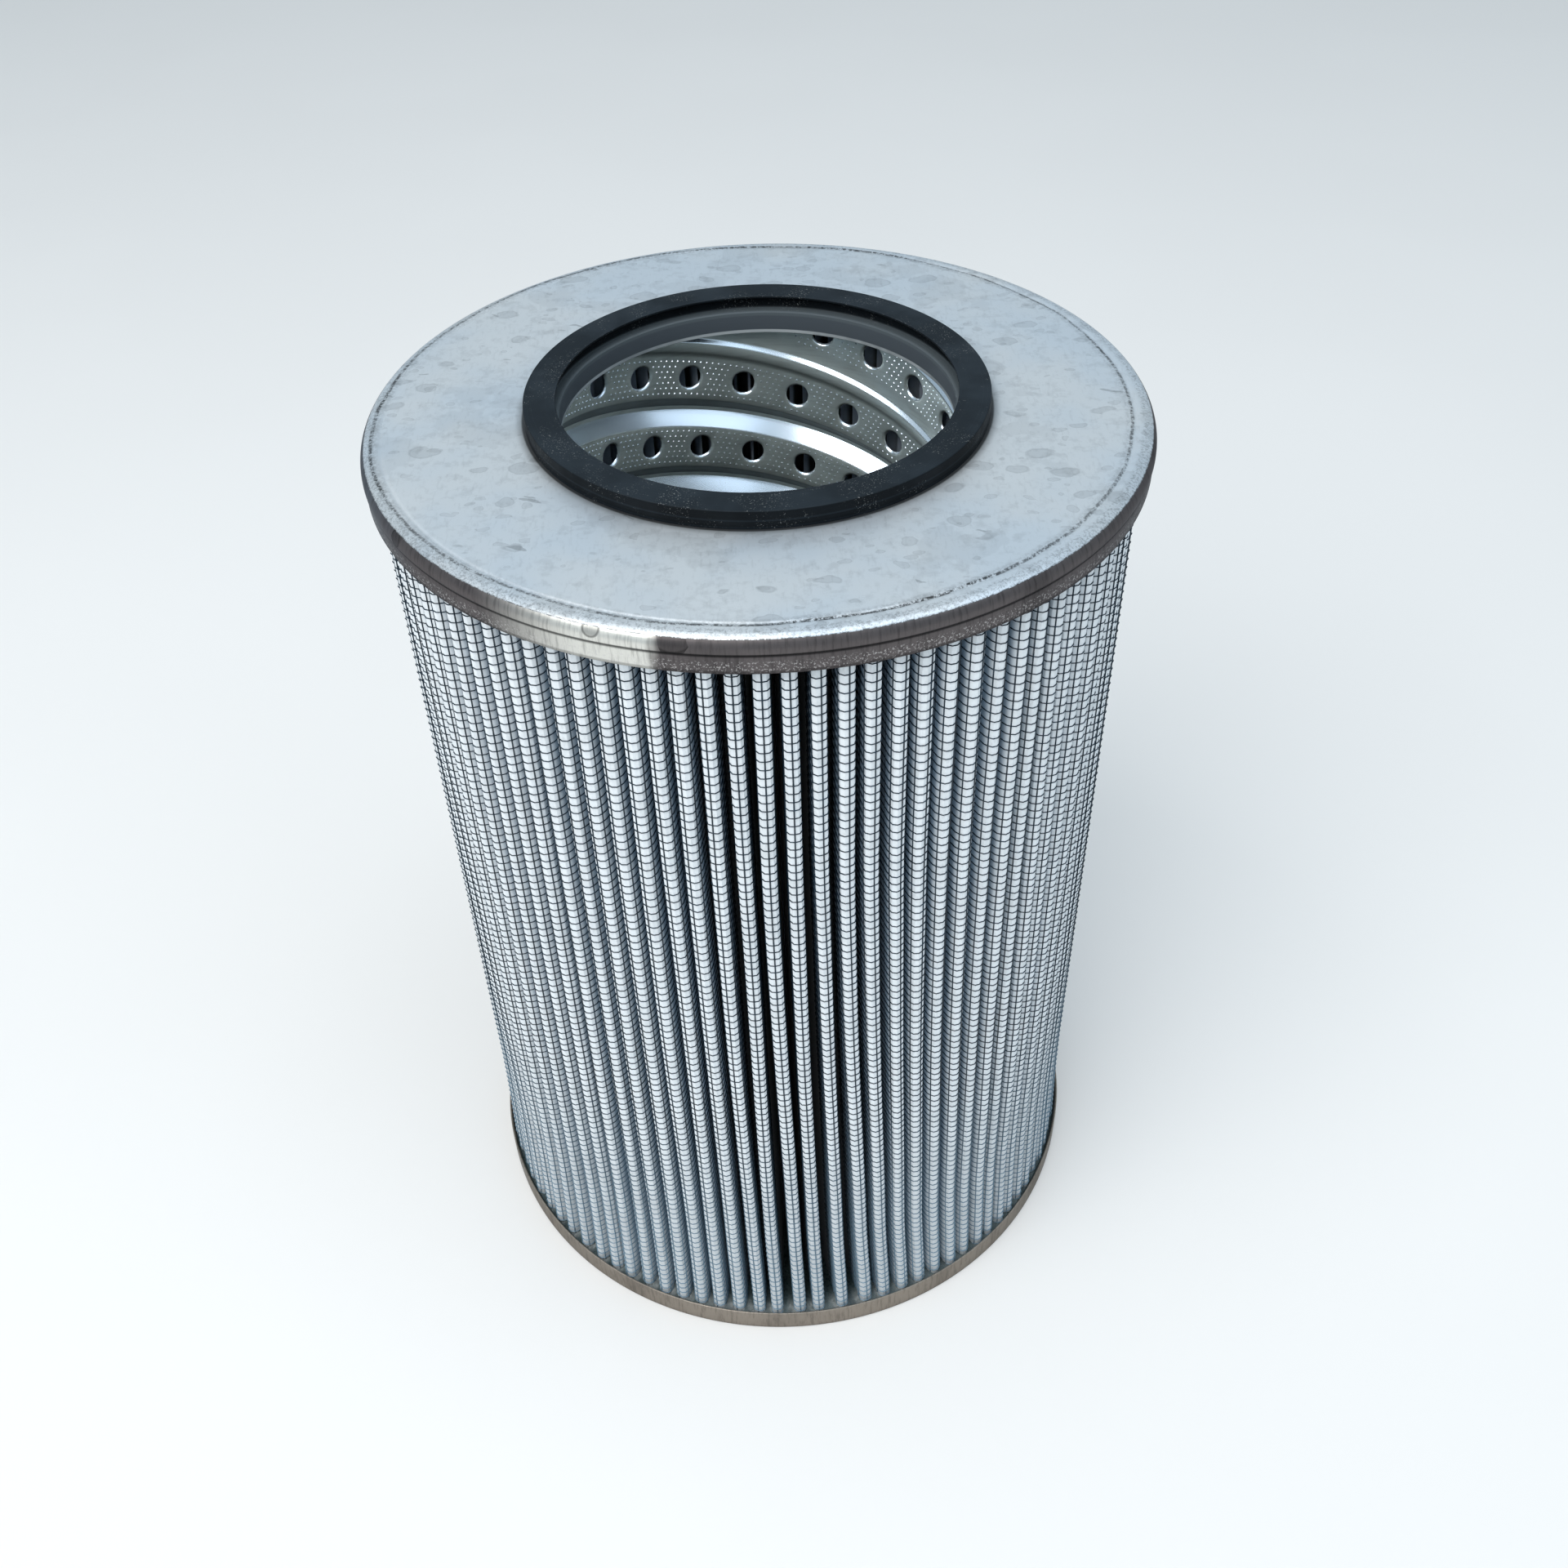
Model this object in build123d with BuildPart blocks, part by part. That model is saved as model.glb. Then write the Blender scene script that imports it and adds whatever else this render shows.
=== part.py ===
"""Pleated hydraulic filter element: two pressed end caps, a perforated core, a pleat pack and a seal.

Millimetres, +Z up. The origin is the centre of the bottom end cap's outer face, on the element's axis.
"""

from math import cos, pi, sin
import os

from build123d import *

# Element and its two pressed sheet-metal end caps
ELEMENT_LENGTH = 208.0
CAP_OUTER_R = 75.0
CAP_SHEET = 0.7
CAP_SKIRT = 7.0
TOP_SHOULDER = 1.6
BOTTOM_BEVEL = 0.8

# Top end cap: the lower half of its skirt steps in, and its hole holds the seal
JOGGLE_DEPTH = 3.4
JOGGLE_STEP = 0.4
CAP_HOLE_R = 39.4

# Core: four spiral rows of holes, each row set round by a share of the hole spacing
CORE_INNER_R = 40.4
CORE_SHEET = 0.6
ROW_SHIFTS = (0.25, -0.25, -0.25, 0.25)
ROW_PITCH = 16.5
HOLES_PER_TURN = 22
HOLE_ACROSS = 5.0
HOLE_SIDES = 6
HOLE_END_MARGIN = 5.0
FIRST_ROW_HEIGHT = 8.65

# Pleat pack: one laminate folded into a closed ring of deep pleats
PLEAT_COUNT = 96
PLEAT_TIP_R = 73.3
PLEAT_ROOT_R = 44.0
LAMINATE = 1.3
TIP_HALF_WIDTH = 1.47
TIP_FACETS = 3
ROOT_GAP = 0.2

# Adhesive that beds the pleats and the core in each cap
TOP_POTTING = 3.3
BOTTOM_POTTING = 5.3
POTTING_SIDES = 48

# Seal grommet, heights counted from the top cap's outer face
SEAL_BORE_R = 37.75
SEAL_LIP_TOP = 0.3
SEAL_LIP_BOTTOM = -2.9
SEAL_GROOVE_R = 39.6
SEAL_GROOVE_FLOOR = 0.5
SEAL_GROOVE_ROOF = 2.8
SEAL_MOUTH_R = 38.0
SEAL_PROUD = 3.6
SEAL_FLANGE_R = 44.1
SEAL_FOOT_R = 40.2

CORE_OUTER_R = CORE_INNER_R + CORE_SHEET
CORE_FLATS = 2 * HOLES_PER_TURN
SKIRT_OUTER_R = CAP_OUTER_R - JOGGLE_STEP
SKIRT_INNER_R = SKIRT_OUTER_R - CAP_SHEET
CAP_UNDERSIDE = ELEMENT_LENGTH - CAP_SHEET
CORE_LENGTH = CAP_UNDERSIDE - CAP_SHEET
PACK_BOTTOM = CAP_SHEET + BOTTOM_POTTING
PACK_TOP = CAP_UNDERSIDE - TOP_POTTING


def on_ray(radius, angle, offset=0.0):
    """Point at a radius along the ray at an angle in radians, moved sideways by offset."""
    return (
        radius * cos(angle) - offset * sin(angle),
        radius * sin(angle) + offset * cos(angle),
    )


def dirty_side():
    """Outline of the laminate's outer side: rounded tips, with each valley folded shut."""
    points = []
    for pleat in range(PLEAT_COUNT):
        angle = 2 * pi * pleat / PLEAT_COUNT
        for step in range(TIP_FACETS + 1):
            turn = pi * (step / TIP_FACETS - 0.5)
            radius = PLEAT_TIP_R - TIP_HALF_WIDTH + TIP_HALF_WIDTH * cos(turn)
            points.append(on_ray(radius, angle, TIP_HALF_WIDTH * sin(turn)))
        points.append(on_ray(PLEAT_ROOT_R + LAMINATE, angle + pi / PLEAT_COUNT))
    return points


def clean_side():
    """Outline of the laminate's inner side: each tip folded shut, with flat roots round the core."""
    points = []
    half_gap_turn = ROOT_GAP / 2 / PLEAT_ROOT_R
    for pleat in range(PLEAT_COUNT):
        angle = 2 * pi * pleat / PLEAT_COUNT
        points.append(on_ray(PLEAT_ROOT_R, angle - half_gap_turn))
        points.append(on_ray(PLEAT_TIP_R - LAMINATE, angle))
        points.append(on_ray(PLEAT_ROOT_R, angle + half_gap_turn))
    return points


def hole_planes():
    """One plane for each hole of the core, just inside its wall and facing outwards."""
    planes = []
    spacing = 2 * pi / HOLES_PER_TURN
    rise_per_hole = len(ROW_SHIFTS) * ROW_PITCH / HOLES_PER_TURN
    holes_per_row = int(CORE_LENGTH / rise_per_hole) + 1
    for row, shift in enumerate(ROW_SHIFTS):
        first_height = FIRST_ROW_HEIGHT + row * ROW_PITCH
        for step in range(-HOLES_PER_TURN, holes_per_row):
            angle = (step + shift) * spacing
            height = first_height + (step + shift) * rise_per_hole
            if HOLE_END_MARGIN < height - CAP_SHEET < CORE_LENGTH - HOLE_END_MARGIN:
                x, y = on_ray(CORE_INNER_R - CORE_SHEET, angle)
                planes.append(Plane(origin=(x, y, height), x_dir=(-y, x, 0), z_dir=(x, y, 0)))
    return planes


def core_section(radius):
    """Section of the core's wall: round to within a tenth of a millimetre, a flat to each hole."""
    return RegularPolygon(radius, CORE_FLATS, mode=Mode.PRIVATE)


# Top end cap
with BuildPart() as top_end_cap:
    with BuildSketch(Plane.XZ):
        shoulder_r = CAP_OUTER_R - TOP_SHOULDER
        shoulder_height = ELEMENT_LENGTH - TOP_SHOULDER
        half_turn = TOP_SHOULDER * cos(pi / 4)
        step_height = ELEMENT_LENGTH - JOGGLE_DEPTH
        rim_height = ELEMENT_LENGTH - CAP_SKIRT
        with BuildLine():
            Polyline(
                (CAP_HOLE_R, CAP_UNDERSIDE),
                (CAP_HOLE_R, ELEMENT_LENGTH),
                (shoulder_r, ELEMENT_LENGTH),
                (shoulder_r + half_turn, shoulder_height + half_turn),
                (CAP_OUTER_R, shoulder_height),
                (CAP_OUTER_R, step_height),
                (SKIRT_OUTER_R, step_height - JOGGLE_STEP),
                (SKIRT_OUTER_R, rim_height),
                (SKIRT_INNER_R, rim_height),
                (SKIRT_INNER_R, CAP_UNDERSIDE),
                close=True,
            )
        make_face()
    revolve(axis=Axis.Z)

# Bottom end cap, closed
with BuildPart() as bottom_end_cap:
    with BuildSketch(Plane.XZ):
        with BuildLine():
            Polyline(
                (0, 0),
                (SKIRT_OUTER_R - BOTTOM_BEVEL, 0),
                (SKIRT_OUTER_R, BOTTOM_BEVEL),
                (SKIRT_OUTER_R, CAP_SKIRT),
                (SKIRT_INNER_R, CAP_SKIRT),
                (SKIRT_INNER_R, CAP_SHEET),
                (0, CAP_SHEET),
                close=True,
            )
        make_face()
    revolve(axis=Axis.Z)

# Core, standing in the bottom cap and carrying the top one
with BuildPart() as core_tube:
    with BuildSketch(Plane.XY.offset(CAP_SHEET)):
        add(core_section(CORE_OUTER_R))
        add(core_section(CORE_INNER_R), mode=Mode.SUBTRACT)
    extrude(amount=CORE_LENGTH)
    with BuildSketch(*hole_planes()):
        RegularPolygon(HOLE_ACROSS / 2, HOLE_SIDES)
    extrude(amount=3 * CORE_SHEET, mode=Mode.SUBTRACT)

# Pleat pack, standing between the two beds of adhesive
with BuildPart() as pleat_pack:
    with BuildSketch(Plane.XY.offset(PACK_BOTTOM)):
        Polygon(*dirty_side(), align=None)
        Polygon(*clean_side(), align=None, mode=Mode.SUBTRACT)
    extrude(amount=PACK_TOP - PACK_BOTTOM)

# Adhesive under the top cap
with BuildPart() as top_potting:
    with BuildSketch(Plane.XY.offset(PACK_TOP)):
        RegularPolygon(SKIRT_INNER_R, POTTING_SIDES)
        add(core_section(CORE_OUTER_R), mode=Mode.SUBTRACT)
    extrude(amount=TOP_POTTING)

# Adhesive in the bottom cap
with BuildPart() as bottom_potting:
    with BuildSketch(Plane.XY.offset(CAP_SHEET)):
        RegularPolygon(SKIRT_INNER_R, POTTING_SIDES)
        add(core_section(CORE_OUTER_R), mode=Mode.SUBTRACT)
    extrude(amount=BOTTOM_POTTING)

# Seal grommet: a flange on the cap, a neck in its hole, a foot under it, and a lip that grips the pipe
with BuildPart() as seal_grommet:
    with BuildSketch(Plane.XZ):
        seal_top = ELEMENT_LENGTH + SEAL_PROUD
        seal_bottom = ELEMENT_LENGTH + SEAL_LIP_BOTTOM
        with BuildLine():
            Polyline(
                (SEAL_BORE_R, seal_bottom),
                (SEAL_BORE_R, ELEMENT_LENGTH + SEAL_LIP_TOP),
                (SEAL_GROOVE_R, ELEMENT_LENGTH + SEAL_GROOVE_FLOOR),
                (SEAL_GROOVE_R, ELEMENT_LENGTH + SEAL_GROOVE_ROOF),
                (SEAL_MOUTH_R, seal_top),
                (SEAL_FLANGE_R, seal_top),
                (SEAL_FLANGE_R, ELEMENT_LENGTH),
                (CAP_HOLE_R, ELEMENT_LENGTH),
                (CAP_HOLE_R, CAP_UNDERSIDE),
                (SEAL_FOOT_R, CAP_UNDERSIDE),
                (SEAL_FOOT_R, seal_bottom),
                close=True,
            )
        make_face()
    revolve(axis=Axis.Z)

PIECES = {
    "top_end_cap": top_end_cap,
    "bottom_end_cap": bottom_end_cap,
    "core_tube": core_tube,
    "pleat_pack": pleat_pack,
    "top_potting": top_potting,
    "bottom_potting": bottom_potting,
    "seal_grommet": seal_grommet,
}

os.makedirs("parts", exist_ok=True)
for name, piece in PIECES.items():
    piece.part.label = name
    export_step(piece.part, f"parts/{name}.step")
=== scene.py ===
"""Dresses a pleated hydraulic filter element: pressed caps, rubber seal, spiral core, media and wire cloth.

Metres, +Z up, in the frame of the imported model. Each operator makes one piece or group of like pieces.
"""

import math

import bmesh
import bpy
import numpy as np
from mathutils import Matrix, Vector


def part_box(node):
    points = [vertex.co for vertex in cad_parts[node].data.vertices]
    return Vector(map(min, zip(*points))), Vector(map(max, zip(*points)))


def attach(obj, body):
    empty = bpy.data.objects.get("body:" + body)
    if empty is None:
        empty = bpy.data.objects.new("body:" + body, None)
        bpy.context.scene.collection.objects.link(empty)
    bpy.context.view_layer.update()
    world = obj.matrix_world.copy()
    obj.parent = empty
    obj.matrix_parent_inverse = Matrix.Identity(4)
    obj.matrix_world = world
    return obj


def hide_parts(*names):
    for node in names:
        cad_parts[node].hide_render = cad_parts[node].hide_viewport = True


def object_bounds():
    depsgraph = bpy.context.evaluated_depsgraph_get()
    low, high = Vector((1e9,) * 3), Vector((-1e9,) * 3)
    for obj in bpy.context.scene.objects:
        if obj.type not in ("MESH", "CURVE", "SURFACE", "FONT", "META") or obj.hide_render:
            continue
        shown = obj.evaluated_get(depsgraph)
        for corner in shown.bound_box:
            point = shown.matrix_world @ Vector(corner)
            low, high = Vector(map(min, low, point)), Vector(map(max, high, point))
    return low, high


bl_info = {
    "name": "Pleated Filter Element",
    "version": (1, 0, 0),
    "blender": (4, 5, 0),
    "location": "View3D > Sidebar > Filter",
    "description": "Builds the finished look of a pleated filter element on its packed frame",
    "category": "Object",
}

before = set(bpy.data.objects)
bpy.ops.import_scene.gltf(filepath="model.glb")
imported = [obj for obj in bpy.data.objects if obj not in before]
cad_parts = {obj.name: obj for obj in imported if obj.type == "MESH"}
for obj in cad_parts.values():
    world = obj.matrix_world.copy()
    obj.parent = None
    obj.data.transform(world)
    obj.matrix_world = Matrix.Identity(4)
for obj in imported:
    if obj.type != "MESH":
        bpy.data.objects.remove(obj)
CAD_LOW, CAD_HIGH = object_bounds()
TOP_CAP_LOW, TOP_CAP_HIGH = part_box("top_end_cap")
BASE_CAP_LOW, BASE_CAP_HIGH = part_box("bottom_end_cap")
CORE_LOW, CORE_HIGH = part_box("core_tube")
PACK_LOW, PACK_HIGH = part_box("pleat_pack")
SEAL_LOW, SEAL_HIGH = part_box("seal_grommet")

MM = 0.001
SEED = 41
TURN_STEPS = 288
ROUND_STEPS = 4
SHARP_ANGLE = math.radians(32)
# Edge of the top cap's hole, where the seal's neck goes through
CAP_HOLE = 39.4 * MM
# The joggle's line round the top cap's skirt, and the rolled shoulder above it
JOGGLE_LINE = TOP_CAP_HIGH.z - 3.55 * MM
SHOULDER_START = 71.8 * MM
SHOULDER_END = 72.6 * MM
# How far the seal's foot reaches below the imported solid
SEAL_FOOT_DROP = 1.4 * MM
CORE_BORE = 40.4 * MM
# Thickness of media and cloth at the pleats' roots
LAMINATE = 1.3 * MM

# How the pleats lie round the element, seen from above: the direction in degrees, how far the tips
# stand from their even places at the top, and how much further they have drifted at the foot.
PLEAT_LAY = (
    (-180, -0.3, 0.0),
    (-160, -0.6, 0.0),
    (-142, -0.8, 0.7),
    (-131, 0.2, 0.9),
    (-124, 0.05, 1.1),
    (-112, -0.4, 1.4),
    (-101, -0.75, 2.0),
    (-91, -0.9, 2.3),
    (-86, -1.05, 2.5),
    (-83, -1.1, 3.1),
    (-80, -1.15, 3.9),
    (-76, -1.1, 4.2),
    (-68, -1.0, 4.1),
    (-60, -0.6, 3.5),
    (-52, 0.0, 2.5),
    (-40, -0.4, 1.5),
    (-20, -0.5, 0.6),
    (0, -0.2, 0.0),
    (60, 0.3, 0.3),
    (120, -0.2, -0.4),
    (180, -0.3, 0.0),
)
# Share of that drift reached at each height above the base, in millimetres
DRIFT_HEIGHTS = (0, 10, 30, 50, 70, 90, 110, 150, 195)
DRIFT_SHARES = (1.05, 1.0, 0.8, 0.675, 0.525, 0.375, 0.25, 0.05, 0.0)
# The tips lean out to the rim of the bottom cap by this much, below this height
FOOT_SPREAD = 0.9 * MM
FOOT_SPREAD_HEIGHT = 40.0 * MM
# Depth of a pleat's rounded tip for its half width
NOSE = 0.92


# ---------------------------------------------------------------- sizes and colours


def length(name, description, value):
    """A length property with a default, in metres."""
    return bpy.props.FloatProperty(
        name=name, description=description, default=value, unit="LENGTH", precision=5
    )


def colour(name, description, value):
    """A colour property with a default."""
    return bpy.props.FloatVectorProperty(
        name=name, description=description, default=value, subtype="COLOR", size=3, min=0, max=1
    )


class FilterSizes(bpy.types.PropertyGroup):
    """Sizes of the element's visible pieces"""

    shoulder_crease: length(
        "Shoulder crease", "Radius of the crease where the top cap starts to fall to its shoulder", 70.9 * MM
    )
    joggle_depth: length(
        "Joggle depth", "Height of the skirt's upper band, above the line where it steps in", 3.4 * MM
    )
    sheet: length("Cap sheet", "Thickness of the caps' steel", 0.7 * MM)
    bore_radius: length("Seal bore", "Radius of the lip that grips the pipe", 37.75 * MM)
    hole_radius: length("Core hole", "Radius of the holes in the core", 2.4 * MM)
    row_pitch: length("Row pitch", "Height from one spiral row of holes to the next", 16.5 * MM)
    bead_depth: length(
        "Bead depth", "How far the spiral bead between the rows is pressed outwards", 2.9 * MM
    )
    pleat_count: bpy.props.IntProperty(
        name="Pleats", description="Number of pleats round the element", default=96, min=12
    )
    pleat_half_width: length(
        "Pleat half width", "Half the width of the media over a pleat, without the wire cloth", 1.36 * MM
    )
    pleat_root: length("Pleat root", "Radius of the pleats' inner folds", 44.0 * MM)
    wire: length("Wire", "Diameter of the wires of the cloth", 0.28 * MM)
    course_pitch: length(
        "Cross wire pitch", "Height from one cross wire of the cloth to the next", 1.9 * MM
    )
    swell: length("Swell", "How far the media stands out between the lengthwise wires", 0.14 * MM)
    bedding: length("Bedding", "How far the pleats stand into the adhesive at their foot", 2.4 * MM)
    warp_pitch: length(
        "Lengthwise wire pitch", "Distance between the lengthwise wires, along the folded cloth", 2.4 * MM
    )


class FilterColours(bpy.types.PropertyGroup):
    """Colours of the element's finishes, as linear values"""

    tinplate: colour("Tinplate", "Flat of the caps", (0.705, 0.765, 0.82))
    # The skirt's dark grey is partly its own drawn finish and partly a painted dark reflection
    skirt: colour("Skirt", "Drawn side of the top cap", (0.122, 0.108, 0.108))
    # Pale colour of the painted reflections on the top cap's side
    stain_and_reflection: colour("Stain", "Pale stains on the top cap's side", (0.73, 0.72, 0.67))
    base_skirt: colour("Base skirt", "Side of the bottom cap", (0.330, 0.285, 0.240))
    rubber: colour("Rubber", "Seal grommet", (0.0052, 0.0072, 0.0092))
    # The lip's paler colour is painted light
    lip: colour("Lip", "Inner wall of the seal's lip", (0.075, 0.088, 0.102))
    core: colour("Core", "Perforated tube", (0.64, 0.69, 0.66))
    media: colour("Media", "Pleated media behind the cloth", (0.90, 0.935, 0.96))
    # Colour of the painted shade deep in the pleats
    valley: colour("Valley", "Media deep in the pleats", (0.003, 0.008, 0.015))
    inner_fold: colour("Inner folds", "Folds seen through the core's holes", (0.60, 0.68, 0.78))
    wire: colour("Wire", "Coated wire of the cloth", (0.010, 0.021, 0.033))
    adhesive: colour("Adhesive", "Bed of the pleats in the caps", (0.035, 0.056, 0.060))
    floor: colour("Floor", "Studio floor", (0.78, 0.765, 0.75))


# ---------------------------------------------------------------- material recipes


class Recipe:
    """A material's nodes, with short ways to add them and join them."""

    def __init__(self, name, roughness, metallic=0.0):
        self.material = bpy.data.materials.new(name)
        self.material.use_nodes = True
        self.tree = self.material.node_tree
        self.shader = self.tree.nodes["Principled BSDF"]
        self.shader.inputs["Roughness"].default_value = roughness
        self.shader.inputs["Metallic"].default_value = metallic
        self.place = self.add("ShaderNodeTexCoord").outputs["Object"]
        self.x, self.y, self.z = self.split(self.place)

    def add(self, kind, inputs=(), **settings):
        """Adds a node; inputs are (socket, value or output) pairs."""
        node = self.tree.nodes.new(kind)
        for key, value in settings.items():
            setattr(node, key, value)
        for socket, value in inputs:
            self.join(node.inputs[socket], value)
        return node

    def join(self, socket, value):
        """Links an output to a socket, or sets a plain value on it."""
        if isinstance(value, bpy.types.NodeSocket):
            self.tree.links.new(value, socket)
        else:
            socket.default_value = value

    def split(self, vector):
        """The three parts of a vector."""
        return self.add("ShaderNodeSeparateXYZ", [(0, vector)]).outputs[:]

    def combine(self, x, y, z):
        """A vector of three values."""
        return self.add("ShaderNodeCombineXYZ", [(0, x), (1, y), (2, z)]).outputs[0]

    def calculate(self, operation, first, second=0.0):
        """One Math node."""
        return self.add("ShaderNodeMath", [(0, first), (1, second)], operation=operation).outputs[0]

    def times(self, first, second):
        """The product of two values."""
        return self.calculate("MULTIPLY", first, second)

    def plus(self, first, second):
        """The sum of two values."""
        return self.calculate("ADD", first, second)

    def minus(self, first, second):
        """The first value less the second."""
        return self.calculate("SUBTRACT", first, second)

    def larger(self, first, second):
        """The larger of two values."""
        return self.calculate("MAXIMUM", first, second)

    def scaled(self, vector, factors):
        """A vector with each part scaled."""
        pairs = [(0, vector), (1, factors)]
        return self.add("ShaderNodeVectorMath", pairs, operation="MULTIPLY").outputs[0]

    def radius(self):
        """Distance from the element's axis."""
        flat = self.scaled(self.place, (1, 1, 0))
        return self.add("ShaderNodeVectorMath", [(0, flat)], operation="LENGTH").outputs["Value"]

    def turn(self):
        """Angle round the element's axis, in radians."""
        return self.calculate("ARCTAN2", self.y, self.x)

    def facing(self):
        """How far a face looks up: 1 level, 0 upright, below 0 when it looks down."""
        return self.split(self.add("ShaderNodeNewGeometry").outputs["Normal"])[2]

    def noise(self, vector, scale, detail=2.0, roughness=0.5):
        """Noise, from about 0.3 to 0.7."""
        pairs = [("Vector", vector), ("Scale", scale), ("Detail", detail), ("Roughness", roughness)]
        return self.add("ShaderNodeTexNoise", pairs).outputs["Fac"]

    def step(self, value, low, high, start=0.0, end=1.0):
        """A value mapped smoothly from low..high to start..end, and held outside."""
        pairs = [(0, value), (1, low), (2, high), (3, start), (4, end)]
        return self.add("ShaderNodeMapRange", pairs, interpolation_type="SMOOTHSTEP").outputs[0]

    def band(self, value, middle, half, soft):
        """1 near the middle, falling to 0 past half a width."""
        away = self.calculate("ABSOLUTE", self.minus(value, middle))
        return self.step(away, half, half + soft, 1.0, 0.0)

    def mix(self, factor, first, second, blend="MIX"):
        """Two colours mixed; a plain colour is a tuple of three."""
        node = self.add("ShaderNodeMix", data_type="RGBA", blend_type=blend)
        self.join(node.inputs[0], factor)
        for index, value in ((6, first), (7, second)):
            self.join(node.inputs[index], (*value, 1.0) if isinstance(value, tuple) else value)
        return node.outputs[2]

    def shade(self, tone, *layers):
        """A colour darkened in turn by layers of (mask, amount)."""
        for mask, amount in layers:
            keep = 1.0 - amount
            tone = self.mix(mask, tone, self.mix(1.0, tone, (keep, keep, keep), "MULTIPLY"))
        return tone

    def spots(self, vector, scale, size, share):
        """Scattered round spots: a filled mask and a mask of their outlines."""
        node = self.add("ShaderNodeTexVoronoi", [("Vector", vector), ("Scale", scale)])
        pick = self.split(node.outputs["Color"])
        here = self.step(pick[0], 1.0 - share, 1.001 - share)
        reach = self.times(self.plus(pick[1], 0.45), size)
        ratio = self.calculate("DIVIDE", node.outputs["Distance"], reach)
        fill = self.times(self.step(ratio, 0.86, 1.0, 1.0, 0.0), here)
        edge = self.times(self.band(ratio, 0.92, 0.03, 0.1), here)
        return fill, edge

    def bump(self, *layers):
        """Bumps joined in a row: each layer is (height, depth in metres, strength)."""
        normal = None
        for height, depth, strength in layers:
            node = self.add(
                "ShaderNodeBump", [("Height", height), ("Distance", depth), ("Strength", strength)]
            )
            if normal is not None:
                self.join(node.inputs["Normal"], normal)
            normal = node.outputs["Normal"]
        self.join(self.shader.inputs["Normal"], normal)

    def done(self, tone, roughness=None):
        """Sets the colour and roughness and gives the material."""
        self.join(self.shader.inputs["Base Color"], tone)
        if roughness is not None:
            self.join(self.shader.inputs["Roughness"], roughness)
        return self.material


def plain(value):
    """A colour property as a tuple."""
    return tuple(value)


def tinted(base, factors):
    """A plain colour with each part scaled."""
    return tuple(part * factor for part, factor in zip(base, factors))


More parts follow.
